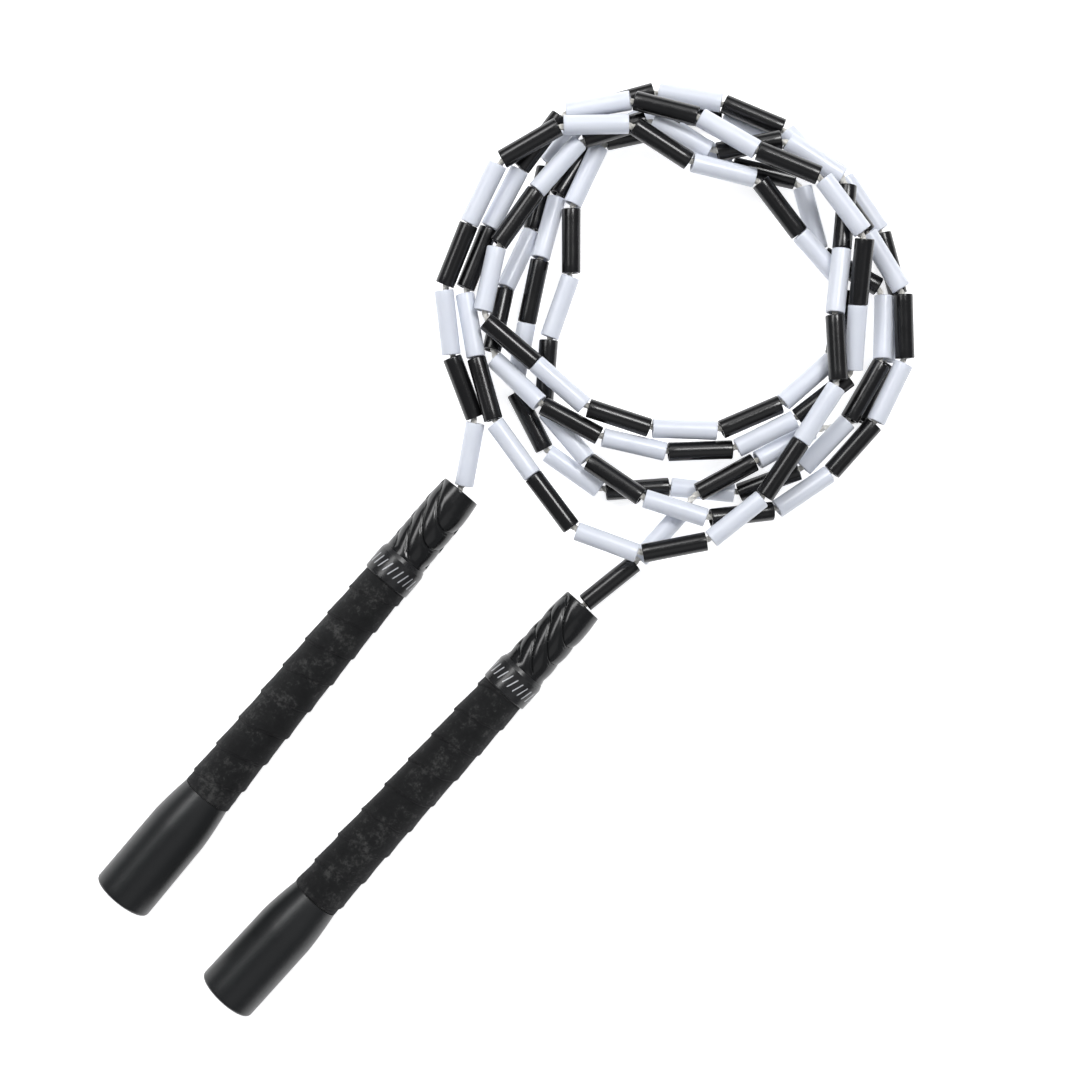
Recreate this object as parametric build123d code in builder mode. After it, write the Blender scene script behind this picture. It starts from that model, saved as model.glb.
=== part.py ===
from build123d import *
import math
import os

# Jump rope: a beaded cord between two long turned handles, laid out as six
# loose loops on a flat floor.  Millimetres, +Z up, floor at Z = 0.
# +Y runs from the butts of the handles towards their tips.

os.makedirs("parts", exist_ok=True)

# ---------------------------------------------------------------- sizes
HANDLE_LENGTH = 210.0      # tip face to butt face
NECK_END = 35.0            # the fluted neck runs from the tip to here
RING_END = 47.0            # finishing ring sits between here and the neck
GRIP_END = 157.5           # overgrip stops here, the butt begins
TIP_R = 8.4                # smooth collar at the tip
NECK_R = 9.25              # smooth collar next to the ring
SEAT_R = 8.6               # tube under the ring and the overgrip
FLUTE_COUNT = 6
FLUTE_LEAD = 54.0          # length for one whole turn of a flute
FLUTE_DEPTH = 0.8
FLUTE_START = 3.0
FLUTE_STOP = 31.5
RING_R = 10.3
FIT_GAP = 0.02             # radial gap of parts pushed over the tube
GRIP_R0 = 9.65             # overgrip radius by the ring
GRIP_R1 = 10.40            # overgrip radius by the butt
BUTT_R0 = 10.15            # start of the butt's shoulder
BUTT_R1 = 12.2             # top of the shoulder
SHOULDER = 17.0            # length of the shoulder
BUTT_R2 = 12.45            # end of the butt
BUTT_EDGE = 1.5            # rounding of the butt's rim
NOSE_HOLE_R = 2.2          # cord hole through the nose
NOSE_WALL = 8.6            # thickness of the nose
CAVITY_R = 6.2             # hollow inside the handle
CAP_R = 9.4                # end cap pushed into the butt
CAP_SEAT = 5.0             # depth of its seat
WASHER_R = 5.4
WASHER_HOLE_R = 1.7
WASHER_T = 1.2
KNOT_R = 3.3
KNOT_LENGTH = 7.0
CORD_R = 1.35
BEAD_R = 3.8
BEAD_BORE_R = 2.75
BEAD_LENGTH = 25.4
BEAD_RIM = 0.35            # rounding of a bead's outer rim
CORD_START = 10.8          # distance from a handle's tip face to its knot

# ------------------------------------------------------------ positions
# tip face centres, and unit vectors from tip to butt
TIP_1 = (-33.177, 106.153, 9.850)
TIP_2 = (33.178, 103.864, 9.850)
AXIS_1 = (0.022389, -0.999667, 0.012839)
AXIS_2 = (-0.022406, -0.999667, 0.012839)
ROUTE = [
    (-32.935, 95.357, 9.988), (-33.206, 107.452, 9.833), (-40.204, 119.280, 10.961),
    (-47.202, 131.108, 12.789), (-59.095, 137.422, 13.946), (-70.987, 143.736, 15.802),
    (-80.874, 152.798, 16.978), (-90.762, 161.860, 18.853), (-95.029, 174.384, 20.053),
    (-99.295, 186.907, 21.953), (-102.683, 199.800, 23.178), (-106.071, 212.693, 25.102),
    (-101.508, 225.739, 25.652), (-96.944, 238.785, 26.902), (-86.726, 248.117, 26.478),
    (-76.508, 257.449, 26.754), (-63.114, 259.704, 24.891), (-49.719, 261.959, 23.727),
    (-37.704, 268.503, 21.878), (-25.688, 275.048, 20.729), (-12.469, 272.661, 18.908),
    (0.750, 270.275, 17.787), (14.411, 268.745, 16.404), (28.073, 267.215, 15.721),
    (35.632, 254.950, 15.564), (43.192, 242.685, 16.107), (41.355, 229.051, 16.001),
    (39.519, 215.417, 16.595), (33.724, 203.230, 16.546), (27.929, 191.042, 17.197),
    (17.517, 182.506, 17.207), (7.105, 173.969, 17.918), (-5.227, 168.670, 17.989),
    (-17.559, 163.371, 18.761), (-30.713, 163.301, 18.883), (-43.868, 163.231, 19.706),
    (-57.799, 163.005, 19.878), (-71.730, 162.780, 20.750), (-78.638, 175.334, 20.441),
    (-85.546, 187.888, 20.831), (-86.894, 201.066, 20.045), (-88.242, 214.243, 19.960),
    (-88.262, 227.645, 19.206), (-88.282, 241.046, 19.152), (-80.899, 253.090, 18.574),
    (-73.515, 265.134, 18.696), (-59.618, 268.341, 18.697), (-45.720, 271.547, 19.397),
    (-36.953, 282.763, 19.429), (-28.186, 293.978, 20.161), (-13.599, 295.958, 20.147),
    (0.988, 297.937, 20.834), (9.081, 286.630, 21.700), (17.174, 275.323, 23.266),
    (24.432, 264.645, 24.148), (31.690, 253.966, 25.729), (41.141, 244.223, 25.580),
    (50.593, 234.480, 26.130), (52.563, 221.241, 25.029), (54.533, 208.003, 24.629),
    (56.253, 195.061, 23.554), (57.973, 182.119, 23.178), (55.610, 168.802, 22.145),
    (53.246, 155.485, 21.812), (44.803, 144.613, 20.818), (36.361, 133.741, 20.524),
    (23.434, 128.726, 19.568), (10.508, 123.711, 19.312), (-2.548, 126.480, 18.395),
    (-15.604, 129.249, 18.178), (-28.373, 132.227, 17.299), (-41.142, 135.205, 17.120),
    (-52.176, 142.425, 16.262), (-63.209, 149.646, 16.103), (-73.681, 158.016, 15.413),
    (-84.152, 166.386, 15.424), (-88.632, 179.039, 15.278), (-93.111, 191.693, 15.832),
    (-96.129, 204.369, 16.086), (-99.147, 217.046, 17.040), (-99.946, 230.677, 18.058),
    (-100.746, 244.308, 19.776), (-91.743, 254.739, 21.628), (-82.740, 265.170, 24.179),
    (-70.698, 270.938, 25.255), (-58.656, 276.706, 27.031), (-45.753, 279.064, 27.580),
    (-32.850, 281.422, 28.830), (-20.117, 285.509, 29.401), (-7.384, 289.595, 30.672),
    (6.359, 286.832, 29.813), (20.102, 284.068, 29.654), (28.133, 273.488, 26.673),
    (36.163, 262.908, 24.393), (44.573, 252.434, 21.440), (52.983, 241.961, 19.187),
    (50.382, 228.422, 17.284), (47.780, 214.882, 16.080), (42.656, 202.317, 14.966),
    (37.531, 189.751, 14.551), (27.754, 180.523, 14.589), (17.977, 171.296, 15.327),
    (6.302, 164.971, 15.531), (-5.373, 158.645, 16.436), (-18.621, 155.643, 15.837),
    (-31.868, 152.640, 15.938), (-45.832, 153.445, 13.733), (-59.796, 154.249, 12.229),
    (-66.607, 166.336, 9.804), (-73.418, 178.423, 8.080), (-77.158, 190.958, 5.670),
    (-80.898, 203.493, 3.960), (-87.476, 215.258, 3.610), (-94.055, 227.024, 3.960),
    (-94.837, 240.839, 4.734), (-95.619, 254.655, 6.209), (-87.770, 266.028, 6.956),
    (-79.921, 277.401, 8.403), (-68.258, 284.164, 9.049), (-56.594, 290.928, 10.396),
    (-43.832, 294.964, 10.768), (-31.071, 299.001, 11.840), (-17.872, 297.309, 11.988),
    (-4.674, 295.618, 12.835), (7.995, 292.294, 13.114), (20.664, 288.970, 14.092),
    (33.604, 284.955, 13.717), (46.543, 280.940, 14.041), (56.038, 270.918, 12.899),
    (65.534, 260.897, 12.457), (69.203, 247.913, 11.344), (72.872, 234.929, 10.931),
    (72.810, 221.624, 9.843), (72.748, 208.318, 9.455), (69.254, 195.314, 10.333),
    (65.760, 182.310, 11.911), (56.698, 172.277, 13.721), (47.635, 162.244, 16.231),
    (35.246, 156.787, 15.467), (22.858, 151.330, 15.404), (9.773, 149.882, 12.801),
    (-3.312, 148.434, 10.899), (-16.902, 150.568, 9.084), (-30.491, 152.702, 7.969),
    (-38.761, 163.759, 8.274), (-47.031, 174.816, 9.279), (-51.980, 187.190, 9.593),
    (-56.929, 199.564, 10.608), (-65.803, 209.743, 10.931), (-74.676, 219.922, 11.954),
    (-78.653, 233.511, 11.364), (-82.630, 247.099, 11.474), (-73.961, 258.764, 10.732),
    (-65.291, 270.428, 10.690), (-51.519, 272.406, 10.112), (-37.746, 274.384, 10.233),
    (-25.191, 281.186, 9.684), (-12.635, 287.989, 9.835), (-0.392, 279.779, 9.321),
    (11.851, 271.570, 9.506), (26.307, 274.448, 9.279), (40.763, 277.326, 9.753),
    (49.837, 266.163, 10.428), (58.911, 255.000, 11.804), (61.505, 241.767, 11.683),
    (64.099, 228.534, 12.261), (63.604, 215.105, 10.999), (63.108, 201.676, 10.437),
    (56.693, 189.857, 7.411), (50.278, 178.037, 5.084), (39.354, 170.277, 4.172),
    (28.430, 162.517, 3.960), (18.824, 152.849, 3.905), (9.218, 143.181, 4.551),
    (-4.637, 141.724, 4.505), (-18.492, 140.268, 5.158), (-31.412, 145.419, 5.129),
    (-44.332, 150.569, 5.799), (-51.099, 162.165, 6.349), (-57.866, 173.761, 7.598),
    (-64.149, 185.034, 8.320), (-70.432, 196.306, 9.741), (-76.238, 208.128, 8.374),
    (-82.043, 219.950, 7.706), (-84.300, 233.288, 5.680), (-86.558, 246.627, 4.353),
    (-81.066, 259.439, 3.865), (-75.574, 272.251, 4.077), (-64.237, 279.551, 3.669),
    (-52.899, 286.851, 3.960), (-40.990, 292.464, 3.610), (-29.081, 298.077, 3.960),
    (-15.189, 300.288, 3.610), (-1.298, 302.499, 3.960), (11.749, 299.035, 3.610),
    (24.796, 295.570, 3.960), (36.042, 288.022, 3.610), (47.288, 280.474, 3.960),
    (53.965, 268.765, 3.610), (60.641, 257.057, 3.960), (64.252, 243.437, 4.306),
    (67.863, 229.817, 5.353), (56.489, 217.778, 9.030), (51.736, 204.831, 10.424),
    (46.984, 191.883, 12.518), (42.205, 178.940, 12.079), (37.426, 165.996, 12.341),
    (38.478, 159.897, 7.976), (38.241, 145.757, 8.085), (38.004, 131.617, 8.893),
    (35.602, 118.215, 9.015), (33.199, 104.813, 9.838), (32.936, 93.067, 9.988),
]
BEADS = [
    ((-33.763, 108.393, 9.951), (-46.622, 130.128, 12.666)),
    ((-48.208, 131.642, 12.916), (-70.503, 143.479, 15.741)),
    ((-71.390, 144.105, 15.864), (-89.996, 161.157, 18.735)),
    ((-91.097, 162.844, 18.975), (-99.233, 186.724, 21.930)),
    ((-99.345, 187.096, 21.976), (-105.756, 211.493, 24.956)),
    ((-105.660, 213.870, 25.183), (-97.290, 237.795, 26.834)),
    ((-96.168, 239.494, 26.897), (-77.412, 256.623, 26.761)),
    ((-75.306, 257.651, 26.618), (-50.413, 261.842, 23.806)),
    ((-49.102, 262.295, 23.651), (-26.929, 274.372, 20.884)),
    ((-24.297, 274.797, 20.574), (0.550, 270.311, 17.809)),
    ((0.952, 270.252, 17.771), (26.123, 267.433, 15.868)),
    ((29.105, 265.541, 15.747), (42.430, 243.920, 16.087)),
    ((42.998, 241.247, 16.133), (39.608, 216.079, 16.584)),
    ((39.233, 214.814, 16.610), (28.328, 191.881, 17.176)),
    ((27.211, 190.453, 17.221), (7.575, 174.355, 17.902)),
    ((6.546, 173.729, 17.937), (-16.779, 163.705, 18.734)),
    ((-18.406, 163.366, 18.791), (-43.790, 163.231, 19.703)),
    ((-43.947, 163.230, 19.709), (-69.326, 162.819, 20.660)),
    ((-72.890, 164.888, 20.757), (-85.135, 187.141, 20.829)),
    ((-85.633, 188.736, 20.803), (-88.216, 213.991, 19.968)),
    ((-88.242, 214.497, 19.952), (-88.281, 239.886, 19.187)),
    ((-87.675, 242.037, 19.133), (-74.402, 263.689, 18.724)),
    ((-71.864, 265.515, 18.738), (-47.121, 271.224, 19.362)),
    ((-44.835, 272.680, 19.436), (-29.197, 292.684, 20.117)),
    ((-26.559, 294.199, 20.198), (-1.396, 297.614, 20.779)),
    ((2.384, 295.987, 21.044), (17.111, 275.411, 23.257)),
    ((17.235, 275.234, 23.277), (31.448, 254.322, 25.688)),
    ((31.990, 253.657, 25.736), (49.673, 235.427, 26.110)),
    ((50.787, 233.175, 26.056), (54.520, 208.092, 24.634)),
    ((54.545, 207.915, 24.624), (57.886, 182.775, 23.215)),
    ((57.857, 181.467, 23.145), (53.424, 156.490, 21.863)),
    ((52.620, 154.679, 21.764), (37.058, 134.639, 20.577)),
    ((35.301, 133.330, 20.474), (11.644, 124.151, 19.365)),
    ((9.317, 123.963, 19.260), (-15.508, 129.228, 18.182)),
    ((-15.699, 129.271, 18.174), (-40.415, 135.035, 17.151)),
    ((-41.767, 135.614, 17.092), (-63.004, 149.512, 16.112)),
    ((-63.401, 149.799, 16.097), (-83.235, 165.653, 15.453)),
    ((-84.544, 167.492, 15.441), (-93.019, 191.434, 15.828)),
    ((-93.174, 191.960, 15.845), (-99.051, 216.642, 17.021)),
    ((-99.171, 217.459, 17.081), (-100.651, 242.689, 19.613)),
    ((-99.693, 245.528, 20.034), (-83.304, 264.515, 24.041)),
    ((-81.957, 265.545, 24.272), (-59.179, 276.456, 26.969)),
    ((-58.083, 276.811, 27.071), (-33.156, 281.367, 28.808)),
    ((-32.553, 281.518, 28.851), (-8.425, 289.261, 30.597)),
    ((-6.311, 289.379, 30.632), (18.574, 284.375, 29.710)),
    ((21.030, 282.846, 29.350), (36.094, 262.999, 24.415)),
    ((36.234, 262.820, 24.371), (51.847, 243.376, 19.539)),
    ((52.633, 240.137, 18.978), (47.870, 215.351, 16.134)),
    ((47.533, 214.276, 16.043), (37.956, 190.793, 14.615)),
    ((36.856, 189.113, 14.578), (18.391, 171.687, 15.310)),
    ((17.476, 171.025, 15.350), (-4.838, 158.936, 16.411)),
    ((-6.216, 158.454, 16.420), (-30.983, 152.840, 15.954)),
    ((-32.515, 152.677, 15.852), (-57.653, 154.126, 12.513)),
    ((-60.847, 156.114, 11.909), (-73.179, 177.999, 8.152)),
    ((-73.557, 178.891, 8.003), (-80.732, 202.934, 4.052)),
    ((-81.185, 204.005, 3.960), (-93.580, 226.175, 3.960)),
    ((-94.109, 227.993, 4.039), (-95.541, 253.269, 6.096)),
    ((-94.831, 255.797, 6.319), (-80.449, 276.636, 8.329)),
    ((-79.024, 277.921, 8.479), (-57.111, 290.629, 10.352)),
    ((-56.128, 291.076, 10.423), (-31.945, 298.724, 11.791)),
    ((-30.160, 298.884, 11.874), (-4.983, 295.658, 12.824)),
    ((-4.215, 295.498, 12.858), (20.325, 289.059, 14.076)),
    ((21.047, 288.851, 14.092), (45.305, 281.323, 14.044)),
    ((47.340, 280.098, 13.975), (64.782, 261.690, 12.519)),
    ((65.810, 259.918, 12.399), (72.707, 235.514, 10.966)),
    ((72.869, 234.320, 10.897), (72.751, 208.959, 9.491)),
    ((72.582, 207.701, 9.514), (66.019, 183.272, 11.820)),
    ((65.095, 181.573, 12.069), (48.283, 162.961, 16.077)),
    ((46.746, 161.852, 16.202), (23.511, 151.618, 15.425)),
    ((22.154, 151.252, 15.282), (-2.730, 148.499, 10.999)),
    ((-3.892, 148.525, 10.837), (-28.843, 152.443, 8.147)),
    ((-31.494, 154.043, 8.049), (-46.690, 174.360, 9.252)),
    ((-47.242, 175.344, 9.307), (-56.663, 198.898, 10.572)),
    ((-57.400, 200.105, 10.644), (-74.071, 219.227, 11.908)),
    ((-74.936, 220.808, 11.938), (-82.069, 245.182, 11.508)),
    ((-81.439, 248.702, 11.420), (-66.293, 269.080, 10.735)),
    ((-63.630, 270.667, 10.663), (-38.491, 274.277, 10.246)),
    ((-37.086, 274.741, 10.223), (-14.755, 286.840, 9.869)),
    ((-10.634, 286.647, 9.808), (10.461, 272.502, 9.525)),
    ((13.493, 271.897, 9.520), (38.403, 276.856, 9.733)),
    ((42.279, 275.461, 9.924), (58.260, 255.801, 11.730)),
    ((59.110, 253.984, 11.822), (63.996, 229.062, 12.252)),
    ((64.079, 227.997, 12.225), (63.145, 202.672, 10.505)),
    ((62.637, 200.807, 10.240), (50.753, 178.913, 5.283)),
    ((49.457, 177.454, 5.042), (28.768, 162.757, 3.977)),
    ((28.136, 162.221, 3.969), (10.238, 144.207, 4.520)),
    ((7.779, 143.029, 4.583), (-17.476, 140.375, 5.136)),
    ((-19.441, 140.646, 5.182), (-43.029, 150.050, 5.767)),
    ((-45.038, 151.779, 5.893), (-57.811, 173.668, 7.591)),
    ((-57.919, 173.857, 7.607), (-70.243, 195.968, 9.709)),
    ((-70.603, 196.654, 9.711), (-81.766, 219.385, 7.754)),
    ((-82.148, 220.569, 7.628), (-86.354, 245.423, 4.505)),
    ((-86.074, 247.755, 4.341), (-76.067, 271.100, 4.090)),
    ((-74.521, 272.929, 4.072), (-53.165, 286.680, 3.961)),
    ((-52.613, 286.986, 3.960), (-29.637, 297.815, 3.960)),
    ((-27.865, 298.270, 3.960), (-2.781, 302.263, 3.960)),
    ((-0.442, 302.271, 3.960), (24.108, 295.753, 3.960)),
    ((25.388, 295.173, 3.960), (46.478, 281.018, 3.960)),
    ((47.772, 279.624, 3.960), (60.354, 257.560, 3.960)),
    ((60.789, 256.500, 3.988), (67.290, 231.978, 5.242)),
    ((55.990, 216.420, 9.213), (47.307, 192.764, 12.399)),
    ((46.827, 191.458, 12.515), (38.029, 167.631, 12.352)),
    ((38.445, 157.929, 8.040), (38.020, 132.546, 8.863)),
    ((37.813, 130.549, 8.931), (33.333, 105.563, 9.811)),
]


def at(tip, axis, distance, x_dir=(0, 0, 1)):
    """Plane across a handle's axis, Z pointing towards the butt."""
    point = tuple(t + a * distance for t, a in zip(tip, axis))
    return Plane(origin=point, x_dir=x_dir, z_dir=axis)


def lobed_section(distance):
    """Closed outline of the neck at a distance from the tip."""
    f = (distance - FLUTE_START) / (FLUTE_STOP - FLUTE_START)
    radius = TIP_R + (NECK_R - TIP_R) * f - 0.05
    fade = max(0.02, min(1.0, 4.0 * f, 4.0 * (1.0 - f)))
    twist = -2 * math.pi * (distance - FLUTE_START) / FLUTE_LEAD   # left-handed
    points = []
    steps = FLUTE_COUNT * 6
    for k in range(steps):
        angle = 2 * math.pi * k / steps
        dip = FLUTE_DEPTH * fade * (0.5 - 0.5 * math.cos(FLUTE_COUNT * angle)) ** 1.5
        points.append(((radius - dip) * math.cos(angle + twist),
                       (radius - dip) * math.sin(angle + twist)))
    return points


# ------------------------------------------------- one handle, tip at the origin
# Everything below is drawn with the handle's axis on +Z, tip face at Z = 0,
# and is placed on its own axis afterwards.

# Moulded body: nose with the cord hole, neck, long tube, flared butt.
with BuildPart() as body_blank:
    with BuildSketch(Plane.XZ) as body_profile:
        with BuildLine():
            Polyline((0, 0), (TIP_R - 0.6, 0), (TIP_R, 0.6), (TIP_R, FLUTE_START),
                     (TIP_R - 1.8, FLUTE_START), (NECK_R - 1.8, FLUTE_STOP),
                     (NECK_R, FLUTE_STOP), (NECK_R, NECK_END), (SEAT_R, NECK_END),
                     (SEAT_R, GRIP_END), (BUTT_R0, GRIP_END))
            Spline((BUTT_R0, GRIP_END), (BUTT_R1, GRIP_END + SHOULDER),
                   tangents=[(0.17, 1.0), (0.07, 1.0)])
            Line((BUTT_R1, GRIP_END + SHOULDER), (BUTT_R2, HANDLE_LENGTH - BUTT_EDGE))
            RadiusArc((BUTT_R2, HANDLE_LENGTH - BUTT_EDGE),
                      (BUTT_R2 - BUTT_EDGE, HANDLE_LENGTH), BUTT_EDGE)
            Polyline((BUTT_R2 - BUTT_EDGE, HANDLE_LENGTH), (0, HANDLE_LENGTH), (0, 0))
        make_face()
    revolve(axis=Axis.Z)
    # twisted flutes of the neck
    n_sections = 13
    for k in range(n_sections):
        z = FLUTE_START + (FLUTE_STOP - FLUTE_START) * k / (n_sections - 1)
        outline = lobed_section(z)
        across = (-outline[0][1], outline[0][0])
        with BuildSketch(Plane.XY.offset(z)):
            with BuildLine():
                Spline(*outline, outline[0], tangents=[across, across])
            make_face()
    loft()
    # hollow: cord hole with an eased mouth, cavity, seat of the end cap
    with BuildSketch(Plane.XZ):
        with BuildLine():
            Polyline((0, 0), (NOSE_HOLE_R + 1.2, 0), (NOSE_HOLE_R, 1.6),
                     (NOSE_HOLE_R, NOSE_WALL), (CAVITY_R, NOSE_WALL),
                     (CAVITY_R, HANDLE_LENGTH - CAP_SEAT), (CAP_R + FIT_GAP, HANDLE_LENGTH - CAP_SEAT),
                     (CAP_R + FIT_GAP, HANDLE_LENGTH), (0, HANDLE_LENGTH), (0, 0))
        make_face()
    revolve(axis=Axis.Z, mode=Mode.SUBTRACT)

# Finishing ring between neck and overgrip, with a bevelled front lip.
with BuildPart() as ring_blank:
    with BuildSketch(Plane.XZ):
        with BuildLine():
            Polyline((SEAT_R + FIT_GAP, NECK_END + 0.02), (RING_R - 1.1, NECK_END + 0.02),
                     (RING_R, NECK_END + 1.6), (RING_R, RING_END - 0.5),
                     (RING_R - 0.4, RING_END), (SEAT_R + FIT_GAP, RING_END),
                     (SEAT_R + FIT_GAP, NECK_END + 0.02))
        make_face()
    revolve(axis=Axis.Z)

# Overgrip tape: a soft sleeve, slightly rolled at its lower end.
with BuildPart() as grip_blank:
    with BuildSketch(Plane.XZ):
        with BuildLine():
            Polyline((SEAT_R + FIT_GAP, RING_END + 0.02), (GRIP_R0 - 0.3, RING_END + 0.02),
                     (GRIP_R0, RING_END + 0.5), (GRIP_R1, GRIP_END - 0.8),
                     (GRIP_R1 - 0.5, GRIP_END - 0.02), (SEAT_R + FIT_GAP, GRIP_END - 0.02),
                     (SEAT_R + FIT_GAP, RING_END + 0.02))
        make_face()
    revolve(axis=Axis.Z)

# End cap: a disc with a spigot, pushed flush into the butt.
with BuildPart() as cap_blank:
    with BuildSketch(Plane.XZ):
        with BuildLine():
            Polyline((0, HANDLE_LENGTH - CAP_SEAT - 6.0), (CAVITY_R - 0.5, HANDLE_LENGTH - CAP_SEAT - 6.0),
                     (CAVITY_R - FIT_GAP, HANDLE_LENGTH - CAP_SEAT - 5.0),
                     (CAVITY_R - FIT_GAP, HANDLE_LENGTH - CAP_SEAT + 0.02),
                     (CAP_R, HANDLE_LENGTH - CAP_SEAT + 0.02), (CAP_R, HANDLE_LENGTH - 0.4),
                     (CAP_R - 0.4, HANDLE_LENGTH), (0, HANDLE_LENGTH),
                     (0, HANDLE_LENGTH - CAP_SEAT - 6.0))
        make_face()
    revolve(axis=Axis.Z)

# Washer that stops the knot at the inner side of the nose.
with BuildPart() as washer_blank:
    with BuildSketch(Plane.XY.offset(NOSE_WALL + 0.5)):
        Circle(WASHER_R)
        Circle(WASHER_HOLE_R, mode=Mode.SUBTRACT)
    extrude(amount=WASHER_T)

# Stop knot: the end of the cord tied into a ball, its near side flat where
# the cord runs into it.
with BuildPart() as knot_blank:
    with BuildSketch(Plane.XZ):
        with BuildLine():
            Polyline((0, CORD_START + KNOT_LENGTH), (0, CORD_START), (CORD_R + 0.3, CORD_START))
            Spline((CORD_R + 0.3, CORD_START), (KNOT_R, CORD_START + KNOT_LENGTH * 0.5),
                   (0, CORD_START + KNOT_LENGTH), tangents=[(1.0, 0.35), (-1.0, 0.0)])
        make_face()
    revolve(axis=Axis.Z)

# Bead: a straight tube with eased rims.
with BuildPart() as bead_blank:
    with BuildSketch(Plane.XZ):
        with BuildLine():
            Polyline((BEAD_BORE_R, 0.15), (BEAD_BORE_R + 0.15, 0), (BEAD_R - BEAD_RIM, 0),
                     (BEAD_R, BEAD_RIM), (BEAD_R, BEAD_LENGTH - BEAD_RIM),
                     (BEAD_R - BEAD_RIM, BEAD_LENGTH), (BEAD_BORE_R + 0.15, BEAD_LENGTH),
                     (BEAD_BORE_R, BEAD_LENGTH - 0.15), (BEAD_BORE_R, 0.15))
        make_face()
    revolve(axis=Axis.Z)

# ------------------------------------------------------- left handle (tip 1)
place_left = at(TIP_1, AXIS_1, 0).location
place_right = at(TIP_2, AXIS_2, 0).location

with BuildPart() as handle_left_body:
    with Locations(place_left):
        add(body_blank.part)
handle_left_body.part.label = "handle_left_body"
export_step(handle_left_body.part, "parts/handle_left_body.step")

with BuildPart() as handle_left_ring:
    with Locations(place_left):
        add(ring_blank.part)
handle_left_ring.part.label = "handle_left_ring"
export_step(handle_left_ring.part, "parts/handle_left_ring.step")

with BuildPart() as handle_left_overgrip:
    with Locations(place_left):
        add(grip_blank.part)
handle_left_overgrip.part.label = "handle_left_overgrip"
export_step(handle_left_overgrip.part, "parts/handle_left_overgrip.step")

with BuildPart() as handle_left_end_cap:
    with Locations(place_left):
        add(cap_blank.part)
handle_left_end_cap.part.label = "handle_left_end_cap"
export_step(handle_left_end_cap.part, "parts/handle_left_end_cap.step")

with BuildPart() as washer_left:
    with Locations(place_left):
        add(washer_blank.part)
washer_left.part.label = "washer_left"
export_step(washer_left.part, "parts/washer_left.step")

with BuildPart() as stop_knot_left:
    with Locations(place_left):
        add(knot_blank.part)
stop_knot_left.part.label = "stop_knot_left"
export_step(stop_knot_left.part, "parts/stop_knot_left.step")

# ------------------------------------------------------ right handle (tip 2)
with BuildPart() as handle_right_body:
    with Locations(place_right):
        add(body_blank.part)
handle_right_body.part.label = "handle_right_body"
export_step(handle_right_body.part, "parts/handle_right_body.step")

with BuildPart() as handle_right_ring:
    with Locations(place_right):
        add(ring_blank.part)
handle_right_ring.part.label = "handle_right_ring"
export_step(handle_right_ring.part, "parts/handle_right_ring.step")

with BuildPart() as handle_right_overgrip:
    with Locations(place_right):
        add(grip_blank.part)
handle_right_overgrip.part.label = "handle_right_overgrip"
export_step(handle_right_overgrip.part, "parts/handle_right_overgrip.step")

with BuildPart() as handle_right_end_cap:
    with Locations(place_right):
        add(cap_blank.part)
handle_right_end_cap.part.label = "handle_right_end_cap"
export_step(handle_right_end_cap.part, "parts/handle_right_end_cap.step")

with BuildPart() as washer_right:
    with Locations(place_right):
        add(washer_blank.part)
washer_right.part.label = "washer_right"
export_step(washer_right.part, "parts/washer_right.step")

with BuildPart() as stop_knot_right:
    with Locations(place_right):
        add(knot_blank.part)
stop_knot_right.part.label = "stop_knot_right"
export_step(stop_knot_right.part, "parts/stop_knot_right.step")

# ------------------------------------------------------------------- cord
# Straight runs joined by tangent arcs; each arc uses 0.45 of its shorter run.


def corner_radii(points):
    radii = []
    for p, q, r in zip(points, points[1:], points[2:]):
        a, b = Vector(*q) - Vector(*p), Vector(*r) - Vector(*q)
        turn = math.radians(a.get_angle(b))
        radii.append(0.45 * min(a.length, b.length) / math.tan(turn / 2))
    return radii


cord_radii = corner_radii(ROUTE)
print("cord corner radii, smallest:", [round(r, 1) for r in sorted(cord_radii)[:8]])

with BuildPart() as cord:
    with BuildLine() as cord_path:
        FilletPolyline(*ROUTE, radius=cord_radii)
    with BuildSketch(Plane(origin=ROUTE[0], z_dir=Vector(*ROUTE[1]) - Vector(*ROUTE[0]))):
        Circle(CORD_R)
    sweep(path=cord_path.wires()[0])
cord.part.label = "cord"
export_step(cord.part, "parts/cord.step")
cord_length = cord_path.wires()[0].length
print("cord length", round(cord_length, 1),
      "volume / (section x length)",
      round(cord.part.volume / (math.pi * CORD_R ** 2 * cord_length), 4))


# ------------------------------------------------------------------- beads
# One node for each pass of the rope and colour, so a pass can be recoloured.


def bead_places(first, last, step):
    """Locations of beads first..last (1-based) by step."""
    places = []
    for k in range(first - 1, last, step):
        start, end = BEADS[k]
        direction = tuple(e - s for s, e in zip(start, end))
        places.append(Plane(origin=start, z_dir=direction).location)
    return places


with BuildPart() as beads_first_pass_white:
    with Locations(*bead_places(1, 17, 2)):
        add(bead_blank.part)
beads_first_pass_white.part.label = "beads_first_pass_white"
export_step(beads_first_pass_white.part, "parts/beads_first_pass_white.step")

with BuildPart() as beads_first_pass_black:
    with Locations(*bead_places(2, 18, 2)):
        add(bead_blank.part)
beads_first_pass_black.part.label = "beads_first_pass_black"
export_step(beads_first_pass_black.part, "parts/beads_first_pass_black.step")

with BuildPart() as beads_second_pass_white:
    with Locations(*bead_places(19, 35, 2)):
        add(bead_blank.part)
beads_second_pass_white.part.label = "beads_second_pass_white"
export_step(beads_second_pass_white.part, "parts/beads_second_pass_white.step")

with BuildPart() as beads_second_pass_black:
    with Locations(*bead_places(20, 34, 2)):
        add(bead_blank.part)
beads_second_pass_black.part.label = "beads_second_pass_black"
export_step(beads_second_pass_black.part, "parts/beads_second_pass_black.step")

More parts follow.
